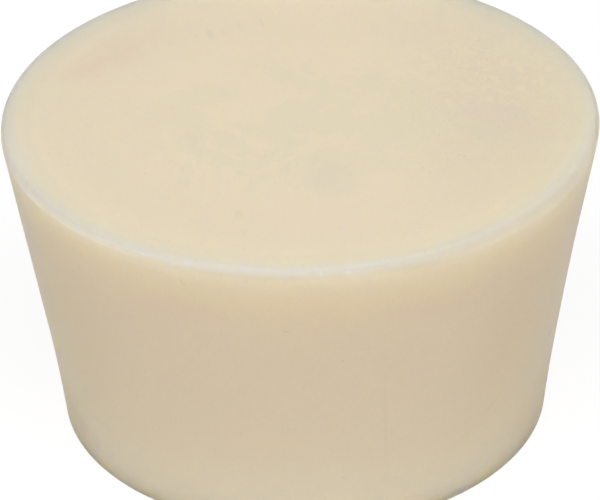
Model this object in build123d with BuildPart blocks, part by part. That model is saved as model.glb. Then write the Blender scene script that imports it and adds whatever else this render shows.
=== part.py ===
from build123d import *

import os
from math import atan, tan

# A solid rubber stopper: one tapered plug, moulded in one piece, standing on its small end.
# Millimetres, +Z up. The origin is the centre of the small end's flat face.

# A number 9 stopper. The diameters are those of the corners before their edges are rounded.
top_diameter = 45.0
foot_diameter = 37.0
stopper_height = 25.0

# The nose is the lowest band of the side, which leads into a neck. It tapers less than the body above,
# so the side bends there, a little inside a straight line from the rim to the foot.
nose_height = 5.5
nose_inset = 0.23
nose_blend_share = 0.5  # of the nose's height, on each side of the bend, rounded into the body

# The moulded edges of the two flat ends.
rim_edge_radius = 0.6
foot_edge_radius = 0.4

# Corners of the half section, and the slopes of the two tapers, each the radius gained over the height.
top_radius = top_diameter / 2
foot_radius = foot_diameter / 2
nose_radius = foot_radius + (top_radius - foot_radius) * nose_height / stopper_height - nose_inset
nose_slope = (nose_radius - foot_radius) / nose_height
body_slope = (top_radius - nose_radius) / (stopper_height - nose_height)

# The rounding of the bend is an arc that meets both tapers this far from their corner.
bend_angle = abs(atan(body_slope) - atan(nose_slope))
nose_blend_radius = nose_blend_share * nose_height / tan(bend_angle / 2)

# The stopper: its half section runs from the middle of the top, over the rim and down the side, to the
# middle of the foot. The axis closes it, and it is turned about that axis.
with BuildPart() as stopper:
    with BuildSketch(Plane.XZ):
        with BuildLine():
            half_section = FilletPolyline(
                (0, stopper_height),
                (top_radius, stopper_height),
                (nose_radius, nose_height),
                (foot_radius, 0),
                (0, 0),
                radius=[rim_edge_radius, nose_blend_radius, foot_edge_radius],
            )
            Line(half_section @ 1, half_section @ 0)
        make_face()
    revolve(axis=Axis.Z)
stopper.part.label = "stopper"

os.makedirs("parts", exist_ok=True)
export_step(stopper.part, "parts/stopper.step")

size = stopper.part.bounding_box().size
print(f"stopper {size.X:.2f} x {size.Y:.2f} x {size.Z:.2f} mm, {stopper.part.volume:.0f} mm3")
print(f"nose {nose_radius:.3f} mm in radius at the bend, which is rounded at {nose_blend_radius:.1f} mm")
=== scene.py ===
# %% [markdown]
# A rubber stopper, dressed
#
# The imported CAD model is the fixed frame: one solid plug of moulded rubber, standing on its small end.
# This lesson gives it the skin of the real thing. There is one piece to model and one material to mix,
# so the care goes into small matters: an edge that isn't quite even, light that sinks into the rubber
# and comes out again a few millimetres away, and the faint marks that handling leaves.

# %% Load the frame
from math import atan, atan2, cos, degrees, hypot, pi, radians, sin, tan

import bmesh
import bpy
from mathutils import Matrix, Vector


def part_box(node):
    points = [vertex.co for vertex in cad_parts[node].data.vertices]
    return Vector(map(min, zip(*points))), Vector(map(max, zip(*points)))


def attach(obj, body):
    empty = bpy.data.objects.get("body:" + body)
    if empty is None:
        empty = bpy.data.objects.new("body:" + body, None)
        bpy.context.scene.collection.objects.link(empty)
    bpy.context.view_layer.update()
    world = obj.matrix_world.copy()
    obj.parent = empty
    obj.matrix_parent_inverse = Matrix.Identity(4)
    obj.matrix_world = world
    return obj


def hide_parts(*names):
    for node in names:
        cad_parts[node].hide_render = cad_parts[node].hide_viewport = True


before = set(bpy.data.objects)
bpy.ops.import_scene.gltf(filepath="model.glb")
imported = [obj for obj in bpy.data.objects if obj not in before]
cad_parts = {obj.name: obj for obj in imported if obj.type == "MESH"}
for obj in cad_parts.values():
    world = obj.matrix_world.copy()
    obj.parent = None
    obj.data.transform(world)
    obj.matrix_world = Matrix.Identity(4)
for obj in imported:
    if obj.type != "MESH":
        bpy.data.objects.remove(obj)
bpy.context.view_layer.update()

foot_corner, top_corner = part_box("stopper")
stopper_height = top_corner.z - foot_corner.z

# %% [markdown]
# Blender works in metres here and a stopper is measured in millimetres, so its sizes are written as a number
# of millimetres times MM. Colours are written as the hex values that a picture editor shows. Blender mixes
# light in linear values, so one function turns a hex value into those.

# %% Units and colours
MM = 0.001


def linear(hex_colour):
    """The linear red, green, blue and alpha of an sRGB colour such as "e1d5bb"."""
    shades = [int(hex_colour[i:i + 2], 16) / 255 for i in (0, 2, 4)]
    return [s / 12.92 if s <= 0.04045 else ((s + 0.055) / 1.055) ** 2.4 for s in shades] + [1.0]


print("cream in linear values", [round(value, 3) for value in linear("e5d6b9")])

# %% [markdown]
# The camera comes first, because every later choice is judged through it. The picture looks down on the
# stopper from about 32 degrees, close to, so the far rim looks smaller than the near one. A long lens at a
# third of a metre gives that. The camera is also turned by about one degree, as a hand-held one is.

# %% Camera
view_elevation = radians(31.8)
view_roll = radians(-1.125)
view_distance = 352.9 * MM
aim_point = Vector((-0.19, 0, 12.95)) * MM
sensor_width = 36.0
lens_in_picture_widths = 7.7227
nearest_seen = 10 * MM

towards_camera = Vector((0, -cos(view_elevation), sin(view_elevation)))
camera_data = bpy.data.cameras.new("camera")
camera_data.sensor_fit = "HORIZONTAL"
camera_data.sensor_width = sensor_width
camera_data.lens = sensor_width * lens_in_picture_widths
camera_data.clip_start = nearest_seen
camera = bpy.data.objects.new("camera", camera_data)
camera.matrix_world = (
    Matrix.Translation(aim_point + view_distance * towards_camera)
    @ towards_camera.to_track_quat("Z", "Y").to_matrix().to_4x4()
    @ Matrix.Rotation(view_roll, 4, "Z")
)
bpy.context.scene.collection.objects.link(camera)
bpy.context.scene.camera = camera
print(f"camera {camera_data.lens:.0f} mm lens at {view_distance / MM:.0f} mm")

# %% [markdown]
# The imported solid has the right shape, but its long triangles can't carry an uneven edge. So the stopper is
# turned again, from half of its section. Five corners are enough: the middle of the top, the rim, the bend
# where the taper eases near the foot, the foot's edge and the middle of the foot. Bevelling the three outer
# corners as points gives the two moulded edges and the long, soft bend. The straight runs are then divided,
# so that the finished skin has enough points to carry a slight flat.

# %% Half section
top_radius = 22.5 * MM
foot_radius = 18.5 * MM
nose_height = 5.5 * MM
nose_radius = 19.15 * MM
rim_edge_radius = 0.6 * MM
foot_edge_radius = 0.4 * MM
nose_blend_run = 2.75 * MM
rim_segments, nose_segments, foot_segments = 14, 8, 10
ring_spacing = 0.8 * MM

body_taper = atan((top_radius - nose_radius) / (stopper_height - nose_height))
nose_taper = atan((nose_radius - foot_radius) / nose_height)
rim_turn = pi / 2 + body_taper
foot_turn = pi / 2 - nose_taper

section = bmesh.new()
corners = [
    section.verts.new((radius, 0, height))
    for radius, height in (
        (0, stopper_height),
        (top_radius, stopper_height),
        (nose_radius, nose_height),
        (foot_radius, 0),
        (0, 0),
    )
]
for upper, lower in zip(corners, corners[1:]):
    section.edges.new((upper, lower))
for corner, run, segments in (
    (corners[1], rim_edge_radius * tan(rim_turn / 2), rim_segments),
    (corners[2], nose_blend_run, nose_segments),
    (corners[3], foot_edge_radius * tan(foot_turn / 2), foot_segments),
):
    bmesh.ops.bevel(
        section, geom=[corner], offset=run, offset_type="OFFSET", segments=segments,
        profile=0.5, affect="VERTICES", material=-1,
    )
for edge in list(section.edges):
    cuts = int(edge.calc_length() / ring_spacing)
    if cuts:
        bmesh.ops.subdivide_edges(section, edges=[edge], cuts=cuts)
print(f"half section of {len(section.verts)} points")

# %% [markdown]
# Several things on this stopper follow the rim: the pale line along it, which is bloom with a painted
# highlight, the warm glow below it, the tone of the side. Height can't place them on the level top, and
# radius can't place them round the edge. So each point of the section is told how far it lies past the middle
# of the rim's edge, in millimetres along the surface, with a minus sign on the top. The spin hands these
# numbers on to the skin, and the material reads them back as an attribute.

# %% Distance past the rim
axis_reach = 1 * MM
past_rim = section.verts.layers.float.new("past_rim")
top_middle = next(
    point for point in section.verts if point.co.x < axis_reach and point.co.z > stopper_height / 2
)
chain = [top_middle]
walked = [0.0]
edge = top_middle.link_edges[0]
while edge is not None:
    walked.append(walked[-1] + edge.calc_length())
    chain.append(edge.other_vert(chain[-1]))
    edge = next((other for other in chain[-1].link_edges if other is not edge), None)
rim_sharp = Vector((top_radius, 0, stopper_height))
rim_crest = min(range(len(chain)), key=lambda i: (chain[i].co - rim_sharp).length)
for point, distance in zip(chain, walked):
    point[past_rim] = (distance - walked[rim_crest]) / MM
print(f"section {walked[-1] / MM:.1f} mm long, rim at {walked[rim_crest] / MM:.1f} mm")

# %% [markdown]
# A cone with bevelled ends would have nearly this outline, but neither the bend nor the rings. A full spin of
# the section about the axis, with its last step merged into its first, keeps both. The two points on the axis
# are copied at every step, so they are merged into one pole each, and then the normals are turned outwards.

# %% Turn the skin
spin_steps = 600
merge_distance = 0.001 * MM
bmesh.ops.spin(
    section, geom=section.verts[:] + section.edges[:], cent=(0, 0, 0), axis=(0, 0, 1),
    dvec=(0, 0, 0), angle=2 * pi, steps=spin_steps, use_merge=True,
)
bmesh.ops.remove_doubles(section, verts=section.verts, dist=merge_distance)
bmesh.ops.recalc_face_normals(section, faces=section.faces)
for face in section.faces:
    face.smooth = True
print(f"turned skin of {len(section.verts)} points and {len(section.faces)} faces")

# %% [markdown]
# The real rim isn't even. It is crisp in front, softer on the left and worn widest on the right, and below
# it the right side is a tenth of a millimetre flat. Bump in the material could hint at that, but the outline
# would stay perfect, so the points are moved. Growing the rim's edge means moving each of its points straight
# away from the sharp corner, by a share that depends on the azimuth: 0 degrees faces the camera and +90 is
# its right. Each entry of rim_wear has the share of the edge's size that is added, the azimuth where that is
# most, and how many degrees it reaches to both sides.

# %% Wear on the rim
rim_wear = ((0.65, 52, 46), (0.2, -60, 50), (0.2, 180, 60))
flat_depth = 0.1 * MM
flat_azimuth, flat_azimuth_reach = 82, 42
flat_height, flat_height_reach = 15 * MM, 10 * MM
rim_slack = 0.01 * MM
rim_half_length = rim_edge_radius * rim_turn / 2 + rim_slack


def swell(away, reach):
    """A smooth bump: 1 where away is 0, and 0 from the reach outwards."""
    return cos(min(abs(away) / reach, 1.0) * pi / 2) ** 2


def turn_between(azimuth, other):
    """The angle from one azimuth to another, at most 180 degrees."""
    return abs((azimuth - other + 180) % 360 - 180)


for point in section.verts:
    radius = hypot(point.co.x, point.co.y)
    if radius < axis_reach:
        continue
    azimuth = degrees(atan2(point.co.x, -point.co.y))
    outward = Vector((point.co.x / radius, point.co.y / radius, 0))
    if abs(point[past_rim]) * MM < rim_half_length:
        wear = sum(most * swell(turn_between(azimuth, middle), reach) for most, middle, reach in rim_wear)
        sharp = top_radius * outward + Vector((0, 0, stopper_height))
        point.co = sharp + (1 + wear) * (point.co - sharp)
    flatness = swell(turn_between(azimuth, flat_azimuth), flat_azimuth_reach)
    flatness *= swell(point.co.z - flat_height, flat_height_reach)
    point.co -= flat_depth * flatness * outward
skin = bpy.data.meshes.new("stopper_skin")
section.to_mesh(skin)
section.free()
stopper = bpy.data.objects.new("stopper_skin", skin)
bpy.context.scene.collection.objects.link(stopper)
print("skin carries", ", ".join(attribute.name for attribute in skin.attributes))

# %% [markdown]
# One small function adds a shader node, gives it its settings and plain values, and links what feeds it.
# A Mix node has three sets of sockets, for numbers, vectors and colours, under the same names, so the
# colour ones are picked by number.

# %% Node helper
MIX_SHARE, MIX_UNDER, MIX_OVER, MIX_RESULT = 0, 6, 7, 2


def add_node(tree, kind, settings=None, values=None, links=None):
    """Adds a shader node with its own settings, plain values on its inputs and links into them."""
    node = tree.nodes.new("ShaderNode" + kind)
    for name, value in (settings or {}).items():
        setattr(node, name, value)
    for name, value in (values or {}).items():
        node.inputs[name].default_value = value
    for name, output in (links or {}).items():
        tree.links.new(output, node.inputs[name])
    return node


smooth_step = {"interpolation_type": "SMOOTHSTEP"}
colour_mix = {"data_type": "RGBA"}
print("node helper ready")

# %% [markdown]
# Moulded pale gum rubber. Light goes into it, scatters and comes out again nearby, so edges glow and no
# shadow is hard; the skin itself is dull, with a fine grain. Its colour is built up in layers: a tone that
# changes along the section, with painted shade near the rim and painted light at the foot, a worn rim with
# painted shade and a painted highlight, stains, single marks, among them a painted sheen and a painted pool
# of light, and specks. A painted picture could hold them, but its pixels would show up close. So every layer
# is worked out from the object's own coordinates or from the distance past the rim. The first step is a
# second set of coordinates, pushed about by noise, so that stains placed with it get ragged edges.

# %% Rubber: places
rubber = bpy.data.materials.new("moulded_pale_gum_rubber")
rubber.use_nodes = True
tree = rubber.node_tree
tree.nodes.clear()
place = add_node(tree, "TexCoord").outputs["Object"]
across = add_node(tree, "SeparateXYZ", links={0: place}).outputs["X"]
rim_distance = add_node(tree, "Attribute", {"attribute_name": "past_rim"}).outputs["Fac"]

drift_size = 3.5 * MM
drift_reach = 6.0 * MM
noise_middle = (0.5, 0.5, 0.5)
drift = add_node(
    tree, "TexNoise", values={"Scale": 1 / drift_size, "Detail": 5.0, "Roughness": 0.62},
    links={"Vector": place},
)
centred_drift = add_node(
    tree, "VectorMath", {"operation": "SUBTRACT"}, values={1: noise_middle},
    links={0: drift.outputs["Color"]},
)
ragged_place = add_node(
    tree, "VectorMath", {"operation": "MULTIPLY_ADD"}, values={1: (drift_reach, drift_reach, drift_reach)},
    links={0: centred_drift.outputs[0], 2: place},
).outputs[0]
print("rubber has clean and ragged coordinates")

# %% [markdown]
# The tone along the section. The top is a pale cream, a little greyer towards the rim: partly a worn band,
# and partly painted shade that holds back the glow of the thin edge. Below the rim the tone is warmer again.
# Little light gets in at the foot's edge, so its tone is painted the palest and warmest of all, as painted
# light that lifts the shade there; it shows as a thin brown line and not a grey one. Each line of the list
# has a distance past the rim, in millimetres as the attribute is, and the tone there. A slow noise moves
# these tones up and down a little, so that no border runs straight.

# %% Rubber: tone along the section, with painted light and shade
rim_reach = 3.0
wander_reach = 1.5
section_tones_and_painted_light = (
    (-12.0, "e5d6b9"),
    # Greyer towards the rim: a worn band and painted shade together.
    (-rim_reach, "ded1b8"),
    (rim_reach, "e5d5bb"),
    (18.0, "e4d5ba"),
    (22.2, "e6d8bd"),
    (23.5, "ebdbbc"),
    # Paler towards the foot's edge: painted light that lifts the shade there.
    (24.2, "f6e1b5"),
    (24.8, "ffe6a8"),
    (25.2, "ffe09c"),
    (27.0, "e2d2b8"),
)


def add_tones(tree, distance, tones):
    """Adds a colour ramp along a distance in millimetres and gives back its colour."""
    nearest, farthest = tones[0][0], tones[-1][0]
    share = add_node(
        tree, "MapRange", values={"From Min": nearest, "From Max": farthest}, links={"Value": distance},
    )
    ramp = add_node(tree, "ValToRGB", links={"Fac": share.outputs[0]})
    elements = ramp.color_ramp.elements
    elements.remove(elements[1])
    elements[0].color = linear(tones[0][1])
    for at, colour in tones[1:]:
        elements.new((at - nearest) / (farthest - nearest)).color = linear(colour)
    return ramp.outputs[0]


wander = add_node(
    tree, "Math", {"operation": "MULTIPLY_ADD"}, values={1: 2 * wander_reach, 2: -wander_reach},
    links={0: drift.outputs["Fac"]},
)
wandering_distance = add_node(
    tree, "Math", {"operation": "ADD"}, links={0: rim_distance, 1: wander.outputs[0]},
)
section_colour_and_painted_light = add_tones(tree, wandering_distance.outputs[0], section_tones_and_painted_light)
print(f"tone from {len(section_tones_and_painted_light)} colours along the section")

# %% [markdown]
# The rim has a ramp of its own, because a colour ramp is stored as 256 steps, which is too coarse for an edge
# of one millimetre on a ramp of forty. The thin edge is lit from inside and would glow, and handling has left
# it greyer, so its tone dips: partly a worn edge, and partly painted shade that holds back the glow and the
# high front panel's light. The dip reaches lower in front, which that panel lights most, than at the two
# sides, where the distance below the rim is stretched before the ramp reads it.

# %% Rubber: tone and painted shade across the rim
rim_tones_and_painted_shade = (
    (-rim_reach, "ded1b8"),
    (-1.2, "d8cdb7"),
    # The darkest tones here are a worn edge and painted shade together.
    (-0.6, "d0c8b5"),
    (-0.1, "c5bbac"),
    (0.25, "cfc3b0"),
    (0.6, "dfd0ba"),
    (1.2, "e3d4bf"),
    (rim_reach, "e5d5bc"),
)
side_start, side_full = 8 * MM, 16 * MM
side_stretch = 1.0

sideways = add_node(tree, "Math", {"operation": "ABSOLUTE"}, links={0: across})
stretch = add_node(
    tree, "MapRange", smooth_step,
    values={"From Min": side_start, "From Max": side_full, "To Max": side_stretch},
    links={"Value": sideways.outputs[0]},
)
below_rim = add_node(tree, "Math", {"operation": "MAXIMUM"}, values={1: 0.0}, links={0: rim_distance})
stretched_distance = add_node(tree, "Math", {"operation": "MULTIPLY_ADD"}, links={
    0: below_rim.outputs[0], 1: stretch.outputs[0], 2: rim_distance,
})
rim_colour_and_painted_shade = add_tones(tree, stretched_distance.outputs[0], rim_tones_and_painted_shade)
print(f"rim tone from {len(rim_tones_and_painted_shade)} colours")

# %% [markdown]
# A bluish line runs along the worn rim: partly bloom on the rubber and partly a painted highlight, where the
# rounded edge would catch the high front panel. It isn't quite level: it starts just below the crest on the
# left, crosses it at the front left and ends close to the top at the right, so distance is measured in
# millimetres from a line that climbs with X. The bloom and painted highlight thin out slowly above that line
# and end sharply below it, so a distance below the line counts for more. Squaring what is left gives a thin
# bright line with a faint haze round it.

# %% Rubber: line of the bloom and painted highlight
bloom_height = 0.13
bloom_climb = 0.013 / MM
bloom_reach = 0.9
bloom_lower_steepness = 2.0
bloom_sharpness = 2.0

bloom_shift = add_node(
    tree, "Math", {"operation": "MULTIPLY_ADD"}, values={1: bloom_climb, 2: bloom_height}, links={0: across},
)
below_bloom = add_node(
    tree, "Math", {"operation": "ADD"}, links={0: rim_distance, 1: bloom_shift.outputs[0]},
)
above_bloom = add_node(
    tree, "Math", {"operation": "MULTIPLY"}, values={1: -1.0}, links={0: below_bloom.outputs[0]},
)
counted_below = add_node(
    tree, "Math", {"operation": "MULTIPLY"}, values={1: bloom_lower_steepness},
    links={0: below_bloom.outputs[0]},
)
away_from_bloom = add_node(
    tree, "Math", {"operation": "MAXIMUM"}, links={0: counted_below.outputs[0], 1: above_bloom.outputs[0]},
)
bloom_slope = add_node(
    tree, "MapRange", values={"From Min": bloom_reach, "From Max": 0.0},
    links={"Value": away_from_bloom.outputs[0]},
)
bloom_and_highlight_peak = add_node(
    tree, "Math", {"operation": "POWER"}, values={1: bloom_sharpness}, links={0: bloom_slope.outputs[0]},
)
print(f"bloom reaches {bloom_reach} mm up from its line")

# %% [markdown]
# The bloom and painted highlight weaken towards the right, and a noise of under a millimetre rubs them thin
# in places. They lie on the rubber and lighten it, so the layer is added, not mixed. From about two to three
# millimetres away from the rim, the rim's own tone gives way to the section's.

# %% Rubber: bloom and painted highlight on the rim
# A bluish white that is added: bloom, and a painted highlight of the front panel.
bloom_and_highlight_colour = "213c50"
bloom_fade_start, bloom_fade_end = 2 * MM, 12 * MM
bloom_left_over = 0.35
bloom_rub_size = 0.4 * MM
bloom_rub_low, bloom_rub_high = 0.4, 0.6
bloom_rubbed_share = 0.65
rim_tone_share = 0.6

bloom_and_highlight_most = add_node(
    tree, "MapRange", smooth_step,
    values={
        "From Min": bloom_fade_start, "From Max": bloom_fade_end, "To Min": 1.0, "To Max": bloom_left_over,
    },
    links={"Value": across},
)
bloom_and_highlight_line = add_node(
    tree, "Math", {"operation": "MULTIPLY"}, links={0: bloom_and_highlight_peak.outputs[0], 1: bloom_and_highlight_most.outputs[0]},
)
bloom_noise = add_node(
    tree, "TexNoise", values={"Scale": 1 / bloom_rub_size, "Detail": 3.0}, links={"Vector": place},
)
bloom_rub = add_node(
    tree, "MapRange", smooth_step,
    values={"From Min": bloom_rub_low, "From Max": bloom_rub_high, "To Min": bloom_rubbed_share},
    links={"Value": bloom_noise.outputs["Fac"]},
)
bloom_and_highlight_share = add_node(
    tree, "Math", {"operation": "MULTIPLY"}, links={0: bloom_and_highlight_line.outputs[0], 1: bloom_rub.outputs[0]},
)
bloomed_and_highlit_rim = add_node(
    tree, "Mix", {**colour_mix, "blend_type": "ADD"}, values={MIX_OVER: linear(bloom_and_highlight_colour)},
    links={MIX_SHARE: bloom_and_highlight_share.outputs[0], MIX_UNDER: rim_colour_and_painted_shade},
)
away_from_rim = add_node(tree, "Math", {"operation": "ABSOLUTE"}, links={0: rim_distance})
near_rim = add_node(
    tree, "MapRange", smooth_step, values={"From Min": rim_reach, "From Max": rim_tone_share * rim_reach},
    links={"Value": away_from_rim.outputs[0]},
)
tone = add_node(tree, "Mix", colour_mix, links={
    MIX_SHARE: near_rim.outputs[0], MIX_UNDER: section_colour_and_painted_light, MIX_OVER: bloomed_and_highlit_rim.outputs[MIX_RESULT],
})
print(f"rim tone holds to {rim_tone_share * rim_reach:.1f} mm and ends at {rim_reach} mm")

# %% [markdown]
# Patterns that fill a patch of the skin. A narrow step through slow noise gives broad leaves with crisp,
# ragged edges. The same with finer noise gives flecks, and with noise drawn out along one axis it gives
# streaks. Each line of the list has the size of the noise along X, Y and Z in millimetres and the step.

# %% Rubber: leaves, streaks and flecks
patterns = {}
for name, sizes, low, high in (
    ("leafy", (7.0, 7.0, 7.0), 0.48, 0.54),
    ("streaked", (0.8, 2.8, 2.8), 0.52, 0.57),
    ("flecked", (0.9, 0.9, 0.9), 0.48, 0.60),
):
    stretched = add_node(
        tree, "Mapping", values={"Scale": [1 / (size * MM) for size in sizes]}, links={"Vector": place},
    )
    noise = add_node(
        tree, "TexNoise", values={"Scale": 1.0, "Detail": 7.0, "Roughness": 0.65, "Distortion": 0.7},
        links={"Vector": stretched.outputs[0]},
    )
    patterns[name] = add_node(
        tree, "MapRange", smooth_step, values={"From Min": low, "From Max": high},
        links={"Value": noise.outputs["Fac"]},
    ).outputs[0]
print("patterns", ", ".join(patterns))

# %% [markdown]
# Dark specks in the rubber and pale dust on it. Thousands of small balls would do, but at a great weight. A
# Voronoi texture scatters points through space instead, and a dot shows only where the skin happens to cut
# through one, so the dots come in all sizes up to the largest. Real specks are a few hundredths of a
# millimetre, which is less than a pixel. They are drawn about three times as large, so that they show.

# %% Rubber: specks and dust
speck_core_share = 0.4
speckless_share = 0.3
for name, spacing, radius in (
    ("specked", 0.95 * MM, 0.12 * MM),
    ("finely_specked", 0.45 * MM, 0.1 * MM),
    ("dusted", 1.0 * MM, 0.1 * MM),
):
    points = add_node(tree, "TexVoronoi", values={"Scale": 1 / spacing}, links={"Vector": place})
    dots = add_node(
        tree, "MapRange", smooth_step,
        values={"From Min": radius / spacing, "From Max": speck_core_share * radius / spacing},
        links={"Value": points.outputs["Distance"]},
    )
    chance = add_node(tree, "SeparateColor", links={0: points.outputs["Color"]})
    depth = add_node(
        tree, "MapRange", values={"From Min": speckless_share}, links={"Value": chance.outputs[0]},
    )
    patterns[name] = add_node(
        tree, "Math", {"operation": "MULTIPLY"}, links={0: dots.outputs[0], 1: depth.outputs[0]},
    ).outputs[0]
print("patterns", ", ".join(patterns))

# %% [markdown]
# Stains and marks on the top. Each is an ellipsoid of colour that the skin cuts through. A line has its
# name, its place to the right of and behind the middle, three half sizes, all in millimetres, and a turn in
# degrees. Then come its colour, how much of it shows at most, the share of the half size that its edge fades
# over, and whether it is clean, ragged or filled with a pattern.

# %% Rubber: marks on the top
top_marks = (
    ("pale_back", (0, 19), (20, 9, 4), 0, "ead9bc", 0.7, 1.0, "ragged"),
    ("dull_right", (15, 0), (13, 20, 4), 0, "d4c8ad", 0.5, 1.0, "ragged"),
    ("leaf_field", (1, -1), (16, 12, 4), 0, "dcd2b7", 0.5, 0.4, "leafy"),
    ("streak_field", (-6, -7), (14, 7, 4), 0, "dcd3b9", 0.45, 0.5, "streaked"),
    ("fleck_field", (13, 5), (10, 9, 4), 0, "e5d8b8", 0.4, 0.6, "flecked"),
    ("pink_stain", (-15.2, 8.4), (6.5, 3, 4), 41, "ddc8b0", 0.65, 1.0, "ragged"),
    ("pink_stain_tail", (-11.8, 12), (4, 1.4, 4), 41, "e0cdb4", 0.45, 1.0, "ragged"),
    ("purple_patch", (14.3, -0.2), (3.8, 2.6, 4), -35, "dac9ba", 0.45, 1.0, "ragged"),
    ("pink_patch", (17.5, 5.4), (2, 1.6, 4), 0, "dec9b5", 0.4, 1.0, "ragged"),
    ("grey_patch", (14.2, -3.6), (3.6, 1.4, 4), 0, "d7ceb5", 0.35, 0.8, "ragged"),
    ("grey_patch_front", (2.6, -9.8), (2.8, 3.2, 4), 0, "d9cfb8", 0.4, 0.6, "ragged"),
    ("dash_1", (-7.9, 12.2), (0.3, 0.6, 1), 15, "d3c9b1", 0.25, 0.7, "clean"),
    ("dash_2", (-6.8, 12.3), (0.4, 1.2, 1), 12, "d0c7b0", 0.35, 0.7, "clean"),
    ("dash_3", (-5.8, 12.7), (0.2, 0.8, 1), 6, "d3c9b1", 0.3, 0.7, "clean"),
    ("dash_4", (-4.6, 13.7), (0.2, 0.9, 1), 11, "d3c9b1", 0.3, 0.7, "clean"),
    ("dash_5", (-2.8, 14), (0.2, 1.2, 1), 10, "d3c9b1", 0.3, 0.7, "clean"),
    ("round_mark", (-4.6, -14.4), (0.45, 0.9, 1), 0, "d0c8ae", 0.3, 0.7, "clean"),
    ("small_round_mark", (-4.2, -16.9), (0.25, 0.4, 1), 0, "d3caaf", 0.4, 0.7, "clean"),
    ("rim_dash_1", (8.7, -20), (0.2, 0.25, 0.3), 23, "c4b498", 0.3, 0.5, "clean"),
    ("left_scratch", (-19.5, -10.3), (0.3, 0.08, 0.6), 43, "a8997f", 0.3, 0.6, "clean"),
    ("left_hair", (-20.1, -9.3), (0.7, 0.06, 0.6), 74, "a8997f", 0.22, 0.6, "clean"),
    ("specks_right", (14, 2), (12, 16, 4), 0, "8f7f66", 0.2, 0.7, "finely_specked"),
    ("speck_cluster", (11.2, -9.5), (3.2, 4.5, 4), 0, "7f705a", 0.22, 0.7, "finely_specked"),
)
marks = [
    (name, (right, back, stopper_height / MM), half_sizes, (0, turn), *finish)
    for name, (right, back), half_sizes, turn, *finish in top_marks
]
print(f"{len(marks)} marks on the top")

# %% [markdown]
# Stains, marks, a painted sheen and a painted pool of light on the side and the rim. Here a place is an
# azimuth in degrees and a height in millimetres.
# The first half size runs along the skin, the second into the rubber and the third up the side. A lean in
# degrees tips the mark out of the level. Two patterns, specks and dust, fill far larger balls.

# %% Rubber: marks on the side
side_marks = (
    ("warm_right", (48, 14), (8, 5, 15), 0, "e2cfae", 0.6, 1.0, "ragged"),
    ("warm_left", (-54, 13), (7, 5, 13), 0, "e3d1b1", 0.45, 1.0, "ragged"),
    # A painted sheen: pale bluish marks near both silhouettes, where a grazing view reflects the white around
    # it.
    ("cool_left_edge", (-73, 21.5), (5, 4, 7), 0, "dcd3c6", 0.5, 1.0, "ragged"),
    ("cool_right_edge", (71, 22.5), (4, 4, 6), 0, "dcd3c6", 0.35, 1.0, "ragged"),
    # These two turn the nose browner and darker towards both silhouettes, near the foot.
    ("brown_nose_left", (-70, 2.6), (6, 4, 5), 0, "d3bc96", 0.45, 1.0, "ragged"),
    ("brown_nose_right", (70, 2.6), (8, 4, 5.5), 0, "d6bc93", 0.4, 1.0, "ragged"),
    # A painted pool of light: the nose is paler in front, where the white paper would throw light up onto it.
    ("pale_nose_front", (0, 3.5), (14, 4, 6), 0, "e3d8c2", 0.5, 1.0, "ragged"),
    ("pink_tinge_left", (-26, 20.3), (6, 3, 1.5), 0, "e0cbb4", 0.3, 1.0, "ragged"),
    ("pink_tinge_right", (28, 19.9), (7, 3, 1.5), 0, "e0cbb4", 0.3, 1.0, "ragged"),
    ("rim_nick_1", (3.3, 24.75), (0.2, 0.6, 0.2), 0, "d3cfc8", 0.8, 0.7, "clean"),
    ("rim_nick_2", (8.2, 24.68), (0.35, 0.6, 0.16), 0, "d3cfc8", 0.8, 0.7, "clean"),
    ("rim_dash_2", (27, 24.8), (0.12, 0.5, 0.2), 0, "c4a888", 0.3, 0.5, "clean"),
    ("rim_dash_3", (33.6, 24.88), (0.18, 0.5, 0.2), 0, "b9a98e", 0.3, 0.5, "clean"),
    ("pale_scratch", (47.4, 22.65), (0.08, 1, 0.22), 30, "ebe2cf", 0.7, 0.6, "clean"),
    ("brown_hair", (-22.9, 23.1), (0.1, 1.5, 0.55), -39, "b5986c", 0.2, 0.6, "clean"),
    ("red_hair", (-3.6, 19.46), (0.42, 1.5, 0.07), 12, "c9946e", 0.25, 0.6, "clean"),
    ("mould_line", (16.9, 10.2), (0.25, 2.5, 8), -3.4, "c2ad88", 0.08, 1.0, "clean"),
    ("right_crease_upper", (45.8, 7.8), (1.9, 2, 0.18), -38, "bfa984", 0.11, 1.0, "clean"),
    ("right_crease_lower", (36.6, 5.8), (2.4, 2, 0.2), -27, "bfa984", 0.1, 1.0, "clean"),
    ("left_crease", (-56.7, 5.2), (4.2, 2, 0.2), 0, "bfa984", 0.1, 1.0, "clean"),
    ("edge_scuff", (69, 9.6), (0.6, 1, 0.35), 0, "b9ad96", 0.3, 0.8, "clean"),
    ("specks_all_over", (0, 12), (60, 60, 60), 0, "8f7f66", 0.15, 0.4, "specked"),
    ("side_dust", (0, 8), (26, 22, 15), 0, "f0e9da", 0.32, 0.5, "dusted"),
)


def on_side(azimuth, height):
    """The place on the side, in millimetres, at an azimuth in degrees and a height in millimetres."""
    if height * MM > nose_height:
        radius = nose_radius / MM + tan(body_taper) * (height - nose_height / MM)
    else:
        radius = foot_radius / MM + tan(nose_taper) * height
    return radius * sin(radians(azimuth)), -radius * cos(radians(azimuth)), height


marks += [
    (name, on_side(azimuth, height), half_sizes, (lean, azimuth), *finish)
    for name, (azimuth, height), half_sizes, lean, *finish in side_marks
]
print(f"{len(marks)} marks in all")

# %% [markdown]
# One loop lays all the marks over the tone. A Mapping node of type Texture turns the coordinates into shares
# of a mark's half sizes. A spherical gradient of those is 1 at the mark's middle and 0 at its outline.

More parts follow.
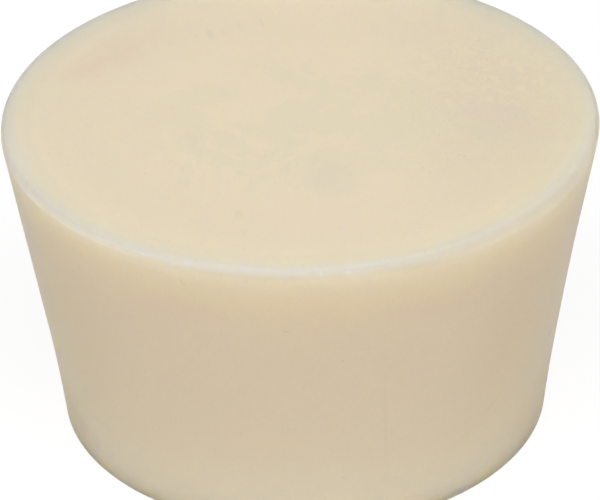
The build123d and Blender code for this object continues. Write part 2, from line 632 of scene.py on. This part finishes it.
# %% Rubber: lay the marks
colour = tone.outputs[MIX_RESULT]
for name, middle, half_sizes, (lean, turn), hex_colour, most, edge_share, kind in marks:
    shares = add_node(
        tree, "Mapping", {"vector_type": "TEXTURE"},
        values={
            "Location": [value * MM for value in middle],
            "Rotation": (0, radians(lean), radians(turn)),
            "Scale": [value * MM for value in half_sizes],
        },
        links={"Vector": place if kind == "clean" else ragged_place},
    )
    ball = add_node(tree, "TexGradient", {"gradient_type": "SPHERICAL"}, links={"Vector": shares.outputs[0]})
    strength = add_node(
        tree, "MapRange", smooth_step, values={"From Max": edge_share, "To Max": most},
        links={"Value": ball.outputs["Fac"]},
    )
    if kind in patterns:
        strength = add_node(
            tree, "Math", {"operation": "MULTIPLY"}, links={0: strength.outputs[0], 1: patterns[kind]},
        )
    layer = add_node(
        tree, "Mix", {**colour_mix, "label": name}, values={MIX_OVER: linear(hex_colour)},
        links={MIX_SHARE: strength.outputs[0], MIX_UNDER: colour},
    )
    colour = layer.outputs[MIX_RESULT]
print(f"{len(marks)} layers of colour")

# %% [markdown]
# The fine grain of the moulded skin. The mould was blasted with a grit of a few hundredths of a millimetre,
# which is less than a pixel, so the grain is drawn at a sixth of a millimetre to show. It shades the colour
# by up to one part in fifty and lifts the surface by a few thousandths of a millimetre. Rubber has an IOR of
# about 1.5. Its skin is dull, so the roughness is high and the specular level low. Light travels several
# millimetres inside it, red and green further than blue, which makes thin edges glow warm.

# %% Rubber: grain and surface
grain_size = 0.16 * MM
grain_height = 0.006 * MM
grain_shade = 0.02
grain_low, grain_high = 0.25, 0.75
grain = add_node(tree, "TexNoise", values={"Scale": 1 / grain_size, "Detail": 2.0}, links={"Vector": place})
shade = add_node(
    tree, "MapRange",
    values={
        "From Min": grain_low, "From Max": grain_high, "To Min": 1 - grain_shade, "To Max": 1 + grain_shade,
    },
    links={"Value": grain.outputs["Fac"]},
)
shaded = add_node(tree, "VectorMath", {"operation": "SCALE"}, links={0: colour, "Scale": shade.outputs[0]})
bumps = add_node(
    tree, "Bump", values={"Strength": 0.5, "Distance": grain_height}, links={"Height": grain.outputs["Fac"]},
)
surface = add_node(
    tree, "BsdfPrincipled", {"subsurface_method": "RANDOM_WALK"},
    values={
        "Roughness": 0.6,
        "IOR": 1.5,
        "Specular IOR Level": 0.3,
        "Subsurface Weight": 1.0,
        "Subsurface Radius": (8.0, 8.0, 5.0),
        "Subsurface Scale": 1.0 * MM,
    },
    links={"Base Color": shaded.outputs[0], "Normal": bumps.outputs[0]},
)
add_node(tree, "OutputMaterial", links={"Surface": surface.outputs["BSDF"]})
skin.materials.append(rubber)
print(f"rubber of {len(tree.nodes)} nodes")

# %% [markdown]
# The stopper stands on white paper in front of a white backdrop. Paper that is lit like the stopper would
# look pale grey, and more light would bleach the rubber. So what the camera sees of the paper, directly or
# in a reflection, is mostly its own white, and the rest is the lit paper with the stopper's shadow. Further
# out it is all its own white, so that its edge doesn't show against the backdrop. Every other ray meets plain
# matt paper, which throws a little light up the side. Both the floor and the world need to know whether a ray
# is seen, so one function works that out. Sizes are in metres from here on.

# %% Floor and backdrop
floor_half = 0.6
seen_white_share = 0.85
seen_white_strength = 1.05
shadow_fade_start, shadow_fade_end = 0.1, 0.35
paper_colour, backdrop_colour = "f0f0f0", "ffffff"


def add_seen(tree):
    """Adds nodes that give 1 for a ray from the camera, a reflection or a refraction, and 0 for others."""
    path = add_node(tree, "LightPath").outputs
    mirrored = add_node(
        tree, "Math", {"operation": "MAXIMUM"},
        links={0: path["Is Glossy Ray"], 1: path["Is Transmission Ray"]},
    )
    seen = add_node(
        tree, "Math", {"operation": "MAXIMUM"}, links={0: path["Is Camera Ray"], 1: mirrored.outputs[0]},
    )
    return seen.outputs[0]


floor_mesh = bpy.data.meshes.new("floor")
floor_shape = bmesh.new()
bmesh.ops.create_grid(floor_shape, x_segments=1, y_segments=1, size=floor_half)
floor_shape.to_mesh(floor_mesh)
floor_shape.free()
floor = bpy.data.objects.new("floor", floor_mesh)
bpy.context.scene.collection.objects.link(floor)

paper = bpy.data.materials.new("white_paper")
paper.use_nodes = True
tree = paper.node_tree
tree.nodes.clear()
paper_place = add_node(tree, "TexCoord").outputs["Object"]
from_middle = add_node(tree, "VectorMath", {"operation": "LENGTH"}, links={0: paper_place})
own_white = add_node(
    tree, "MapRange", smooth_step,
    values={"From Min": shadow_fade_start, "From Max": shadow_fade_end, "To Min": seen_white_share},
    links={"Value": from_middle.outputs["Value"]},
)
white_share = add_node(
    tree, "Math", {"operation": "MULTIPLY"}, links={0: own_white.outputs[0], 1: add_seen(tree)},
)
matt = add_node(tree, "BsdfDiffuse", values={"Color": linear(paper_colour)})
white = add_node(tree, "Emission", values={"Strength": seen_white_strength})
sheet = add_node(
    tree, "MixShader", links={0: white_share.outputs[0], 1: matt.outputs[0], 2: white.outputs[0]},
)
add_node(tree, "OutputMaterial", links={"Surface": sheet.outputs[0]})
floor_mesh.materials.append(paper)

world = bpy.data.worlds.new("white_backdrop")
bpy.context.scene.world = world
world.use_nodes = True
tree = world.node_tree
tree.nodes.clear()
backdrop = add_node(
    tree, "Background", values={"Color": linear(backdrop_colour)}, links={"Strength": add_seen(tree)},
)
add_node(tree, "OutputWorld", links={"Surface": backdrop.outputs[0]})
print(f"floor {2 * floor_half:.1f} m across")

# %% [markdown]
# Three soft panels light it. The large one hangs high in front, and lights the top so that its colour shows
# about as it is written. Alone it would let the two sides fall off, so a weak panel stands at the left and
# another at the right.

# %% Light
panel_distance = 0.8


def add_panel(name, azimuth, elevation, width, height, watts):
    """A soft panel of light that faces the stopper, azimuth 0 being the camera's side and +90 its right."""
    data = bpy.data.lights.new(name, "AREA")
    data.shape = "RECTANGLE"
    data.size = width
    data.size_y = height
    data.energy = watts
    panel = bpy.data.objects.new(name, data)
    outward = Vector((
        sin(radians(azimuth)) * cos(radians(elevation)),
        -cos(radians(azimuth)) * cos(radians(elevation)),
        sin(radians(elevation)),
    ))
    facing = outward.to_track_quat("Z", "Y").to_matrix().to_4x4()
    panel.matrix_world = Matrix.Translation(panel_distance * outward) @ facing
    bpy.context.scene.collection.objects.link(panel)


add_panel("high_front_panel", azimuth=0, elevation=62, width=0.9, height=0.4, watts=6.86)
add_panel("left_panel", azimuth=-90, elevation=40, width=0.6, height=0.5, watts=1.02)
add_panel("right_panel", azimuth=90, elevation=40, width=0.6, height=0.5, watts=1.04)
bpy.context.scene.view_settings.view_transform = "Standard"
print(f"three panels at {panel_distance} m")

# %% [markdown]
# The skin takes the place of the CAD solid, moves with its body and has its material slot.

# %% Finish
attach(stopper, "root")
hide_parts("stopper")
